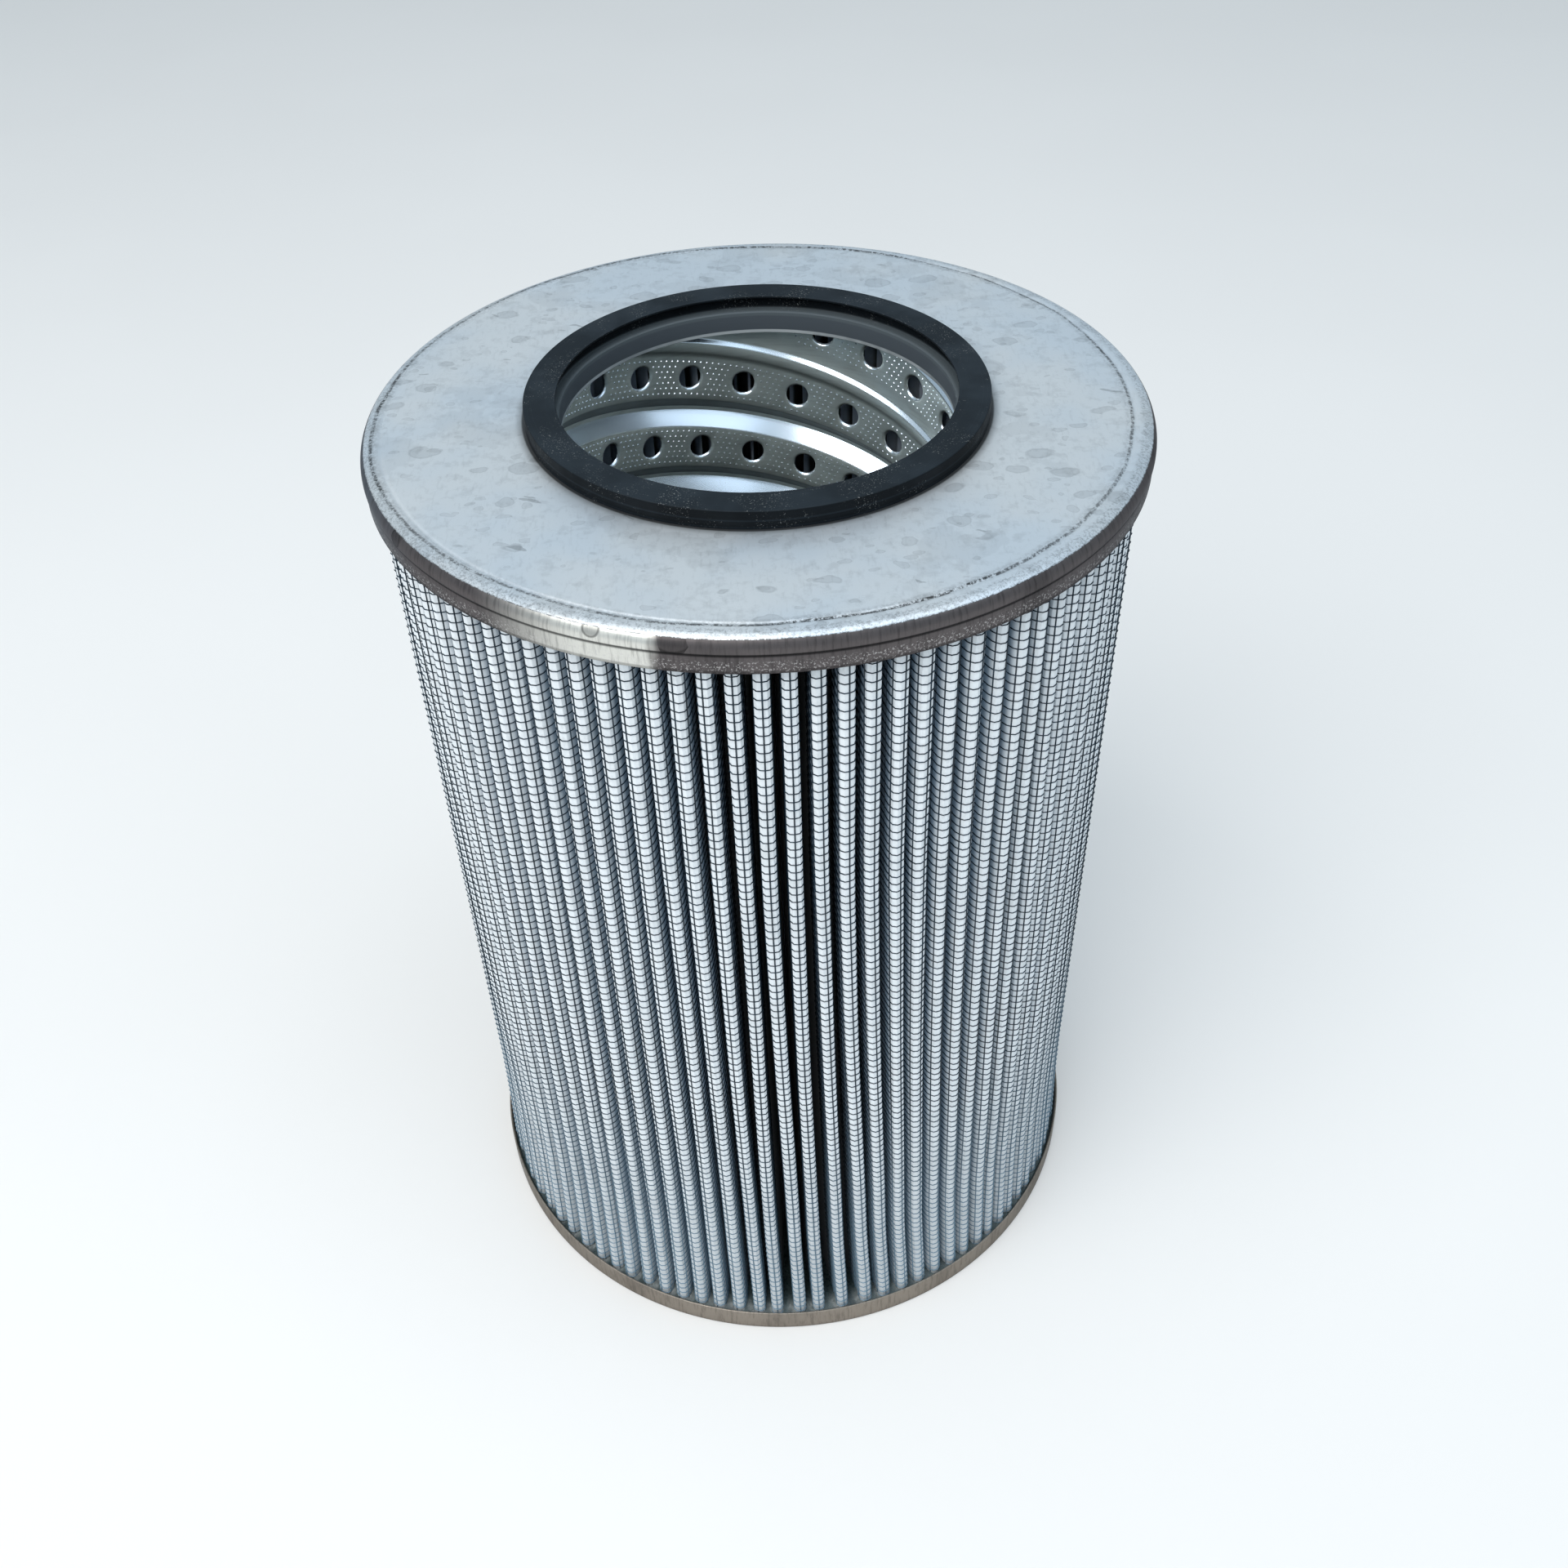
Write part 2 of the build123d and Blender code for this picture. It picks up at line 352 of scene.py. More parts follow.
def tinplate_finish(colours):
    """Dull tinplate with dried water spots, painted shade along a crease and fine scratches, with a painted
    dark reflection along the shoulder's edge and a painted shadow round the seal's foot.
    """
    r = Recipe("tinplate", 0.42, 0.65)
    radius = r.radius()

    # Water spots with ragged outlines, lying a little aslant
    warp = r.add("ShaderNodeTexNoise", [("Vector", r.place), ("Scale", 170.0), ("Detail", 3.0)])
    centred = [(0, warp.outputs["Color"]), (1, (0.5, 0.5, 0.5))]
    push = r.add("ShaderNodeVectorMath", centred, operation="SUBTRACT").outputs[0]
    ragged = r.add("ShaderNodeVectorMath", [(0, r.place), (1, r.scaled(push, (0.004, 0.004, 0)))])
    aslant = [("Vector", ragged.outputs[0]), ("Rotation", (0, 0, 0.5)), ("Scale", (0.75, 1.2, 1.0))]
    laid = r.add("ShaderNodeMapping", aslant).outputs[0]
    big, big_edge = r.spots(laid, 190.0, 0.34, 0.28)
    small, small_edge = r.spots(laid, 420.0, 0.32, 0.26)
    fleck, _ = r.spots(r.scaled(laid, (0.45, 1.5, 1.0)), 300.0, 0.20, 0.08)
    cloud = r.noise(r.place, 28.0, 3.0, 0.55)
    pool = r.step(r.noise(r.place, 52.0, 4.0, 0.55), 0.575, 0.60)
    grain = r.noise(r.scaled(r.place, (1.0, 0.25, 1.0)), 1400.0, 2.0, 0.6)
    mottle = r.noise(r.place, 420.0, 3.0, 0.65)
    base = plain(colours.tinplate)
    tone = r.mix(r.step(cloud, 0.38, 0.62), base, tinted(base, (1.03, 0.985, 0.94)))
    tone = r.shade(
        tone,
        (pool, 0.07),
        (big, 0.11),
        (small, 0.10),
        (r.larger(big_edge, small_edge), 0.10),
        (fleck, 0.30),
        (r.step(grain, 0.52, 0.75), 0.08),
        (r.step(mottle, 0.48, 0.70), 0.11),
    )

    # Painted shade along the crease: its line wanders, runs a little off centre, and its darkness comes and
    # goes
    crumble = r.step(r.noise(r.place, 1300.0, 3.0, 0.8), 0.40, 0.58, 0.15, 1.0)
    wander = r.times(r.minus(r.noise(r.place, 45.0, 2.0), 0.5), 2.2 * MM)
    aside = r.plus(r.times(r.x, -0.0152), r.times(r.y, 0.0027))
    line = r.minus(r.plus(radius, wander), aside)
    crease_shade_breakup = r.times(r.step(r.noise(r.place, 22.0, 2.0), 0.36, 0.58, 0.70, 1.0), crumble)
    crease = r.times(r.band(line, 71.3 * MM, 0.13 * MM, 0.36 * MM), crease_shade_breakup)
    crease_shade_halo = r.times(r.band(line, 70.9 * MM, 0.3 * MM, 1.0 * MM), crease_shade_breakup)
    shoulder = r.step(radius, SHOULDER_START, SHOULDER_END)
    sparkle = r.noise(r.place, 2000.0, 3.0, 0.8)
    # A painted dark reflection along the shoulder's outer edge, where it turns down to the skirt
    edge = r.times(r.band(radius, 74.25 * MM, 0.07 * MM, 0.18 * MM), r.step(crumble, 0.2, 1.0, 0.3, 1.0))
    # Painted shadow on the cap round the seal's foot, darkest next to it
    seal = SEAL_HIGH.x
    tone = r.shade(
        tone,
        (crease, 0.90),
        (crease_shade_halo, 0.26),
        (r.times(shoulder, r.step(sparkle, 0.47, 0.60)), 0.34),
        (edge, 0.85),
        (r.step(radius, seal + 2.2 * MM, seal + 0.2 * MM), 0.45),
        (r.step(radius, seal + 0.8 * MM, seal + 0.4 * MM), 0.80),
    )
    scratch = r.noise(r.scaled(r.place, (0.12, 1.0, 1.0)), 700.0, 1.0, 0.5)
    r.bump(
        (grain, 0.02 * MM, 0.35),
        (scratch, 0.02 * MM, 0.25),
        (cloud, 0.2 * MM, 0.12),
        (sparkle, 0.014 * MM, 0.4),
    )
    flat = r.step(r.plus(cloud, r.times(big, -0.12)), 0.3, 0.7, 0.36, 0.50)
    return r.done(tone, r.mix(shoulder, flat, r.step(crumble, 0.2, 1.0, 0.28, 0.40)))


def skirt_finish(colours):
    """Drawn side of a cap: dark grey, partly as a painted dark reflection, with painted pale reflections in
    zones, upright draw marks, stains, painted shade at the joggle and along the lower edges, and a frosted
    rim.
    """
    r = Recipe("drawn_skirt", 0.38, 0.7)
    turn = r.turn()
    along = r.combine(r.times(turn, TOP_CAP_HIGH.x), 0.0, r.z)
    drawn = r.noise(r.scaled(along, (1.0, 1.0, 0.12)), 1300.0, 3.0, 0.7)
    broad = r.noise(r.scaled(along, (1.0, 1.0, 0.35)), 60.0, 4.0, 0.6)
    stain_and_reflection, stain_edge = r.spots(along, 130.0, 0.42, 0.30)
    dark, pale, taupe = plain(colours.skirt), plain(colours.stain_and_reflection), plain(colours.base_skirt)

    # Painted reflections by their direction round the cap, in radians, with ragged ends: pale zones at the
    # left front and at the back, and a bluish tint on the far left
    ragged = r.times(r.minus(broad, 0.5), 1.3)
    ended = r.plus(turn, r.times(ragged, 0.14))
    front = r.times(r.step(ended, -2.27, -1.97), r.step(ended, -1.80, -1.85))
    painted_reflection_zone = r.larger(front, r.band(ended, 1.15, 0.40, 0.15))
    left = r.calculate("DIVIDE", r.x, -TOP_CAP_HIGH.x)
    painted_left_reflection = r.step(r.plus(left, r.times(ragged, 0.3)), 0.78, 0.98)
    tone = r.mix(painted_left_reflection, dark, tinted(dark, (1.15, 1.4, 1.6)))
    tone = r.mix(painted_reflection_zone, tone, pale)
    tone = r.mix(r.step(r.z, 20.0 * MM, 10.0 * MM), tone, taupe)

    on_top_cap = r.step(r.z, 10.0 * MM, 20.0 * MM)
    top_rim = r.band(r.z, TOP_CAP_LOW.z, 0.2 * MM, 0.4 * MM)
    base_edge = r.band(r.z, 0.15 * MM, 0.1 * MM, 0.5 * MM)
    # Darkened by broad patches, draw marks and stains, and by painted shade in the joggle's step, along the
    # top cap's lower rim and at the bottom cap's foot on the floor
    tone = r.shade(
        tone,
        (r.step(broad, 0.50, 0.68), 0.22),
        (r.step(drawn, 0.46, 0.68), 0.33),
        (r.times(stain_and_reflection, on_top_cap), 0.34),
        (r.times(stain_edge, on_top_cap), 0.50),
        (r.band(r.z, JOGGLE_LINE, 0.18 * MM, 0.35 * MM), 0.78),
        (r.larger(top_rim, base_edge), 0.45),
    )
    speck = r.noise(along, 2100.0, 2.0, 0.75)
    frost = r.times(r.step(speck, 0.54, 0.62), r.band(r.z, 202.2 * MM, 0.45 * MM, 1.0 * MM))
    tone = r.mix(r.times(frost, 0.60), tone, (0.60, 0.58, 0.57))
    r.bump((drawn, 0.03 * MM, 0.4), (speck, 0.03 * MM, 0.25))
    r.shader.inputs["Specular Tint"].default_value = (0.30, 0.32, 0.34, 1.0)
    return r.done(tone, r.step(broad, 0.35, 0.65, 0.34, 0.50))


def core_finish(colours):
    """Rolled core sheet: olive grey, with faint rolling marks, a painted bluish reflection where a wall faces
    up and painted shade where it faces down.
    """
    r = Recipe("core_sheet", 0.30, 0.85)
    along = r.combine(r.times(r.turn(), CORE_BORE), 0.0, r.z)
    lie = [("Vector", along), ("Rotation", (0, -0.26, 0)), ("Scale", (0.08, 1, 1))]
    rolled = r.noise(r.add("ShaderNodeMapping", lie).outputs[0], 1600.0, 2.0, 0.6)
    haze = r.noise(r.place, 60.0, 3.0, 0.6)
    facing = r.facing()
    tone = r.shade(plain(colours.core), (r.step(rolled, 0.45, 0.7), 0.12), (r.step(haze, 0.42, 0.66), 0.12))
    # Painted bluish reflection where a wall faces up, and painted shade where it faces down
    tone = r.mix(r.step(facing, 0.25, 0.60), tone, (0.80, 0.90, 1.0))
    tone = r.shade(tone, (r.step(facing, -0.12, -0.55), 0.72))
    r.bump((rolled, 0.02 * MM, 0.15), (r.noise(r.place, 1900.0, 2.0), 0.015 * MM, 0.2))
    flat = r.step(haze, 0.35, 0.65, 0.36, 0.46)
    return r.done(tone, r.mix(r.step(facing, 0.12, 0.40), flat, (0.24, 0.24, 0.24)))


def rubber_finish(colours):
    """Moulded rubber: charcoal, with turned rings and dust in the pores; painted light makes its upward
    faces, the lip and the ledge in its mouth paler, and a painted highlight runs along the lip's hem.
    """
    r = Recipe("moulded_rubber", 0.6)
    radius = r.radius()
    base = plain(colours.rubber)
    rings = r.noise(r.combine(radius, 0.0, r.times(r.z, 0.4)), 2600.0, 3.0, 0.7)
    cloud = r.noise(r.place, 70.0, 3.0, 0.6)
    dust = r.noise(r.place, 3000.0, 3.0, 0.8)
    grime = r.noise(r.place, 150.0, 4.0, 0.7)
    grey = tinted(base, (3.8, 3.8, 3.8))
    # Paler grey on the upward faces: painted light
    tone = r.mix(r.step(r.facing(), 0.2, 0.9, 0.0, 0.75), base, grey)
    tone = r.mix(r.step(rings, 0.50, 0.66, 0.0, 0.5), tone, grey)
    tone = r.shade(tone, (r.step(cloud, 0.40, 0.62), 0.25))
    speck = r.times(r.step(dust, 0.60, 0.66), r.step(grime, 0.47, 0.60))
    tone = r.mix(r.times(speck, 0.55), tone, (0.35, 0.36, 0.35))

    # Painted light on the lip's inner wall and on the ledge above it in the mouth, and a painted highlight
    # along the hem of the lip
    cap = TOP_CAP_HIGH.z
    foot = SEAL_LOW.z - SEAL_FOOT_DROP
    below_ledge = r.step(r.z, cap + 0.45 * MM, cap + 0.35 * MM)
    lip = r.times(r.step(radius, 38.4 * MM, 38.1 * MM), below_ledge)
    tone = r.mix(lip, tone, plain(colours.lip))
    in_mouth = r.step(radius, CAP_HOLE + 0.3 * MM, CAP_HOLE, 0.0, 0.6)
    ledge = r.times(r.band(r.z, cap + 0.2 * MM, 0.5 * MM, 0.3 * MM), in_mouth)
    tone = r.mix(ledge, tone, (0.11, 0.13, 0.14))
    hem_highlight = r.times(lip, r.band(r.z, foot + 0.40 * MM, 0.30 * MM, 0.20 * MM))
    tone = r.mix(r.times(hem_highlight, r.step(cloud, 0.35, 0.55, 0.55, 1.0)), tone, (0.42, 0.45, 0.46))
    r.bump((rings, 0.04 * MM, 0.35), (dust, 0.03 * MM, 0.3))
    r.shader.inputs["Specular IOR Level"].default_value = 0.10
    return r.done(tone, r.step(cloud, 0.35, 0.65, 0.45, 0.62))


def media_finish(colours):
    """White fibrous media, with painted shade that greys the flanks, darkens the valleys and greys the media
    towards the foot.
    """
    r = Recipe("pleated_media", 0.75)
    radius = r.radius()
    fibre = r.noise(r.scaled(r.place, (1.0, 1.0, 0.45)), 1500.0, 3.0, 0.7)
    mottle = r.noise(r.place, 160.0, 3.0, 0.6)
    # Greyer towards the foot: painted shade
    low = r.step(r.z, 85.0 * MM, 8.0 * MM)
    white, valley = plain(colours.media), plain(colours.valley)
    tone = r.shade(white, (r.step(fibre, 0.48, 0.72), 0.10), (r.step(mottle, 0.42, 0.66), 0.08), (low, 0.32))
    # Painted shade: grey on the flanks and near black deep in the valleys, a little lighter there towards the
    # foot; the inner folds keep a pale colour of their own
    flank = r.step(radius, 72.1 * MM, 70.0 * MM)
    deep = r.step(radius, 69.5 * MM, 65.0 * MM)
    root = r.step(radius, 50.0 * MM, 46.5 * MM)
    tone = r.mix(flank, tone, tinted(white, (0.27, 0.355, 0.44)))
    tone = r.mix(deep, tone, r.mix(low, valley, tinted(valley, (3.0, 3.0, 3.0))))
    tone = r.mix(root, tone, plain(colours.inner_fold))
    r.bump((fibre, 0.06 * MM, 0.5))
    r.shader.inputs["Sheen Weight"].default_value = 0.1
    return r.done(tone)


def wire_finish(colours):
    """Coated wire: blue-black with a dull gloss, dusted pale towards the foot, with painted shade deep in the
    pleats.
    """
    r = Recipe("coated_wire", 0.38)
    base = plain(colours.wire)
    worn = r.noise(r.place, 500.0, 2.0, 0.6)
    tone = r.mix(r.step(worn, 0.42, 0.68, 0.0, 0.6), base, tinted(base, (2.2, 2.2, 2.2)))
    dusted = tinted(base, (18.0, 13.0, 10.5))
    tone = r.mix(r.step(r.z, 85.0 * MM, 12.0 * MM, 0.0, 0.8), tone, dusted)
    # Darker deep in the pleats: painted shade
    tone = r.shade(tone, (r.step(r.radius(), 70.0 * MM, 66.5 * MM), 0.8))
    r.shader.inputs["Specular IOR Level"].default_value = 0.32
    return r.done(tone, r.step(worn, 0.35, 0.65, 0.32, 0.5))


def adhesive_finish(colours):
    """Cured adhesive: cloudy grey-green, glossy where it ran."""
    r = Recipe("cured_adhesive", 0.3)
    base = plain(colours.adhesive)
    cloud = r.noise(r.place, 190.0, 4.0, 0.65)
    fine = r.noise(r.place, 1300.0, 3.0, 0.6)
    tone = r.mix(r.step(cloud, 0.36, 0.64), base, tinted(base, (1.9, 1.7, 1.6)))
    tone = r.shade(tone, (r.step(fine, 0.5, 0.7), 0.2))
    r.bump((cloud, 0.3 * MM, 0.35))
    return r.done(tone, r.step(fine, 0.35, 0.65, 0.22, 0.42))


def floor_finish(colours):
    """Plain pale floor with the faintest unevenness, a little paler to the camera and in reflections."""
    r = Recipe("studio_floor", 0.8)
    tone = r.shade(plain(colours.floor), (r.step(r.noise(r.place, 5.0, 2.0), 0.4, 0.6), 0.012))
    r.shader.inputs["Specular IOR Level"].default_value = 0.1
    path = r.add("ShaderNodeLightPath").outputs
    seen = r.larger(r.larger(path["Is Camera Ray"], path["Is Glossy Ray"]), path["Is Transmission Ray"])
    r.shader.inputs["Emission Color"].default_value = (1.0, 0.97, 0.93, 1.0)
    r.join(r.shader.inputs["Emission Strength"], r.times(seen, 0.13))
    return r.done(tone)


def finish(maker, name):
    """The finish of that name, made once."""
    return bpy.data.materials.get(name) or maker(bpy.context.scene.filter_colours)


# ---------------------------------------------------------------- mesh helpers


def add_piece(name, points, faces, materials, nodes=(), slot=None, second=None):
    """A smooth mesh on the root body for the named solids; second marks the faces of the second finish."""
    mesh = bpy.data.meshes.new(name)
    mesh.from_pydata(np.asarray(points, float).tolist(), [], [list(f) for f in faces])
    for material in materials:
        mesh.materials.append(material)
    if second is not None:
        mesh.polygons.foreach_set("material_index", np.asarray(second, np.int32))
    mesh.polygons.foreach_set("use_smooth", np.ones(len(mesh.polygons), bool))
    mesh.set_sharp_from_angle(angle=SHARP_ANGLE)
    piece = bpy.data.objects.new(name, mesh)
    bpy.context.scene.collection.objects.link(piece)
    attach(piece, "root")
    if nodes:
        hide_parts(*nodes)
    return piece


class Parts:
    """Points and faces gathered part by part."""

    def __init__(self):
        self.points, self.faces, self.total = [], [], 0

    def add(self, points, faces):
        """Adds a part, whose faces count its own points."""
        self.points.append(points.reshape(-1, 3))
        self.faces.append(np.asarray(faces) + self.total)
        self.total += len(self.points[-1])

    def joined(self):
        """All the points and all the faces."""
        return np.concatenate(self.points), np.concatenate(self.faces)


def rounded(corners):
    """An outline in metres with rounded corners, from (radius, height, size of the round) in millimetres."""
    outline = []
    count = len(corners)
    for index, (radius, height, size) in enumerate(corners):
        here = np.array((radius, height), float)
        before = np.array(corners[index - 1][:2], float) - here
        after = np.array(corners[(index + 1) % count][:2], float) - here
        if size <= 0:
            outline.append(here)
            continue
        start = here + before / np.linalg.norm(before) * size
        end = here + after / np.linalg.norm(after) * size
        for t in np.linspace(0.0, 1.0, ROUND_STEPS + 1):
            outline.append((1 - t) ** 2 * start + 2 * t * (1 - t) * here + t * t * end)
    return np.array(outline) * MM


def round_axis(turn, radii, heights):
    """Points round the axis: a row for each direction, a column for each radius."""
    rows = (np.outer(np.cos(turn), radii), np.outer(np.sin(turn), radii))
    return np.stack((*rows, np.broadcast_to(heights, rows[0].shape)), axis=-1)


def turned(outline, closed=True):
    """Points and faces of an outline in (radius, height) turned round the axis."""
    turn = np.linspace(0, 2 * np.pi, TURN_STEPS, endpoint=False)
    count = len(outline)
    points = round_axis(turn, outline[:, 0], outline[:, 1]).reshape(-1, 3)
    a, b = np.arange(count), np.roll(np.arange(count), -1)
    if not closed:
        a, b = a[:-1], b[:-1]
    step = np.arange(TURN_STEPS)[:, None] * count
    ahead = np.roll(step, -1, axis=0)
    faces = np.stack((step + a, ahead + a, ahead + b, step + b), axis=-1).reshape(-1, 4)
    return points, faces


def strip_faces(rows, columns, wrap_rows=False, wrap_columns=False):
    """Faces of a grid of points with that many rows and columns."""
    row = np.arange(rows if wrap_rows else rows - 1)[:, None]
    column = np.arange(columns if wrap_columns else columns - 1)
    below = (row + 1) % rows * columns
    row = row * columns
    beside = (column + 1) % columns
    return np.stack((row + column, row + beside, below + beside, below + column), axis=-1).reshape(-1, 4)


# ---------------------------------------------------------------- how the pleats lie


class PleatLay:
    """Where each pleat stands and how its surface runs, for the media and for the cloth on it."""

    # Spread of the small differences from pleat to pleat: first those in degrees
    TOP_STRAY = 0.13
    FOOT_STRAY = 0.12
    WAVE_STRAY = 0.10
    # then those as shares of the width and of the wires' pitch, as a slope, and as a length
    WIDTH_STRAY = 0.035
    WARP_STRAY = 0.06
    TILT_STRAY = 0.03
    TIP_STRAY = 0.16 * MM
    # Direction of the front, and of the pleats pinched together there; the others are fuller than stated
    FRONT = -90.0
    FULLNESS = 1.10
    PINCH = 0.17
    PINCH_WIDTH = 22.0
    # Room for the cloth outside the media at the tips, in wires and in swells
    WIRE_ROOM = 1.1
    SWELL_ROOM = 0.9
    # Degrees over which the lengthwise wires move by one pitch across the pleats
    WARP_TURN = 100.0
    # Radians of a pleat's slow wave from its foot to its head
    WAVES = 5.0
    SPREAD_CURVE = 1.5

    def __init__(self, sizes):
        chance = np.random.default_rng(SEED)
        count = sizes.pleat_count
        even = np.arange(count) * 360.0 / count
        facing = (even + 180.0) % 360.0 - 180.0
        table = np.array(PLEAT_LAY)
        self.count = count
        self.half_pitch = 180.0 / count
        self.even = even
        self.top_shift = np.interp(facing, table[:, 0], table[:, 1])
        self.top_shift += chance.normal(0, self.TOP_STRAY, count)
        self.foot_drift = np.interp(facing, table[:, 0], table[:, 2])
        self.foot_drift += chance.normal(0, self.FOOT_STRAY, count)
        pinch = self.PINCH * np.exp(-(((facing - self.FRONT) / self.PINCH_WIDTH) ** 2))
        uneven = 1 + chance.normal(0, self.WIDTH_STRAY, count)
        self.half = sizes.pleat_half_width * (self.FULLNESS - pinch) * uneven
        room = self.WIRE_ROOM * sizes.wire + self.SWELL_ROOM * sizes.swell
        self.tip = PACK_HIGH.x - room - np.abs(chance.normal(0, self.TIP_STRAY, count))
        self.wave = chance.normal(0, self.WAVE_STRAY, count)
        self.wave_start = chance.uniform(0, 2 * np.pi, count)
        warp = (facing - self.FRONT) / self.WARP_TURN + chance.normal(0, self.WARP_STRAY, count)
        self.warp_start = np.mod(warp + 0.5, 1.0) - 0.5
        self.warp_pitch = sizes.warp_pitch
        self.swell = sizes.swell
        self.course_shift = chance.uniform(-0.5, 0.5, count) * sizes.course_pitch
        self.course_tilt = chance.normal(0, self.TILT_STRAY, count)
        self.root = sizes.pleat_root

    def turn(self, pleat, height):
        """Direction of a pleat's tip at a height, in radians."""
        drift = np.interp(height / MM, DRIFT_HEIGHTS, DRIFT_SHARES)
        span = (height - PACK_LOW.z) / (PACK_HIGH.z - PACK_LOW.z)
        held = np.sin(np.pi * np.clip(span, 0, 1))
        wave = self.wave[pleat] * np.sin(self.WAVES * span + self.wave_start[pleat]) * held
        shift = self.top_shift[pleat] + self.foot_drift[pleat] * drift
        return np.radians(self.even[pleat] + shift + wave)

    def valley(self, pleat, height):
        """Direction of the valley after a pleat, in radians."""
        drift = np.interp(height / MM, DRIFT_HEIGHTS, DRIFT_SHARES)
        after = (pleat + 1) % self.count
        shift = (self.top_shift[pleat] + self.top_shift[after]) / 2
        shift = 0.5 * (shift + drift * (self.foot_drift[pleat] + self.foot_drift[after]) / 2)
        return np.radians(self.even[pleat] + self.half_pitch + shift)

    def stations(self, pleat):
        """Places round the fold of each pleat, three to a lengthwise wire, with one at each wire."""
        thirds = 3.0 * self.warp_start[pleat]
        return (np.arange(-3, 4) + (thirds - np.round(thirds))) / 3.0 * self.warp_pitch

    def puff(self, pleat, along):
        """How far the media swells out between the lengthwise wires."""
        return self.swell * np.abs(np.sin(np.pi * (along / self.warp_pitch - self.warp_start[pleat])))

    def on_face(self, pleat, along, height, off):
        """Points off the dirty side of a pleat; along runs from its tip round the fold and down a flank."""
        pleat, along, height, off = np.broadcast_arrays(pleat, along, height, off)
        turn = self.turn(pleat, height)
        half = self.half[pleat]
        out = np.stack((np.cos(turn), np.sin(turn)), axis=-1)
        side = np.stack((-np.sin(turn), np.cos(turn)), axis=-1)
        low = np.clip((FOOT_SPREAD_HEIGHT - height) / (FOOT_SPREAD_HEIGHT - PACK_LOW.z), 0, 1)
        spread = FOOT_SPREAD * low**self.SPREAD_CURVE
        centre = out * (self.tip[pleat] + spread - NOSE * half)[..., None]
        fold = np.pi / 2 * half * (1 + NOSE) / 2
        bend = np.clip(along / fold, -1, 1) * np.pi / 2
        ahead = out * np.cos(bend)[..., None]
        aside = side * np.sin(bend)[..., None]
        points = centre + (NOSE * ahead + aside) * half[..., None] + (ahead + aside) * off[..., None]
        which = np.sign(along)
        before = (pleat - 1) % self.count
        root_turn = np.where(which > 0, self.valley(pleat, height), self.valley(before, height))
        root = np.stack((np.cos(root_turn), np.sin(root_turn)), axis=-1) * (self.root + LAMINATE)
        start = centre + side * (which * half)[..., None]
        flank = root - start
        flank = flank / np.linalg.norm(flank, axis=-1, keepdims=True)
        past = np.maximum(np.abs(along) - fold, 0.0)
        points = points + flank * past[..., None]
        return np.concatenate((points, height[..., None]), axis=-1)


# ---------------------------------------------------------------- operators


class MakeTopCap(bpy.types.Operator):
    """Makes the top end cap: a drawn tinplate ring with a crease, a rolled shoulder and a joggled skirt"""

    bl_idname = "filter.make_top_cap"
    bl_label = "Top end cap"

    # Depth below the flat at which the drawn side's finish starts; its dark colour, partly a painted dark
    # reflection, reaches this far up the shoulder
    DRAWN_DEPTH = 0.86 * MM

    def execute(self, context):
        sizes = context.scene.filter_sizes
        outer = TOP_CAP_HIGH.x / MM
        top = TOP_CAP_HIGH.z / MM
        rim = TOP_CAP_LOW.z / MM - 0.25
        sheet = sizes.sheet / MM
        crease = sizes.shoulder_crease / MM
        joggle = top - sizes.joggle_depth / MM
        hole = CAP_HOLE / MM
        lower = outer - 0.25
        outline = rounded(
            (
                (hole, top - sheet, 0.0),
                (hole, top, 0.15),
                (crease - 0.5, top, 0.25),
                (crease, top - 0.22, 0.25),
                (crease + 0.6, top - 0.06, 0.3),
                (72.6, top - 0.12, 0.6),
                (73.5, top - 0.32, 0.6),
                (74.25, top - 0.78, 0.45),
                (74.8, top - 1.65, 0.5),
                (outer, top - 2.5, 0.4),
                (outer, joggle + 0.1, 0.25),
                (lower - 0.12, joggle - 0.25, 0.12),
                (lower, joggle - 0.75, 0.25),
                (lower, rim, 0.25),
                (lower - sheet, rim, 0.25),
                (lower - sheet, joggle - 0.4, 0.2),
                (outer - sheet, joggle + 0.2, 0.2),
                (outer - sheet, top - 2.4, 0.4),
                (73.3, top - sheet - 0.7, 0.5),
                (72.0, top - sheet - 0.1, 0.3),
            )
        )
        points, faces = turned(outline)
        middle = points[faces].mean(axis=1)
        drawn = middle[:, 2] < TOP_CAP_HIGH.z - self.DRAWN_DEPTH
        materials = [finish(tinplate_finish, "tinplate"), finish(skirt_finish, "drawn_skirt")]
        add_piece("top_cap", points, faces, materials, ["top_end_cap"], "cap_steel", drawn)
        return {"FINISHED"}


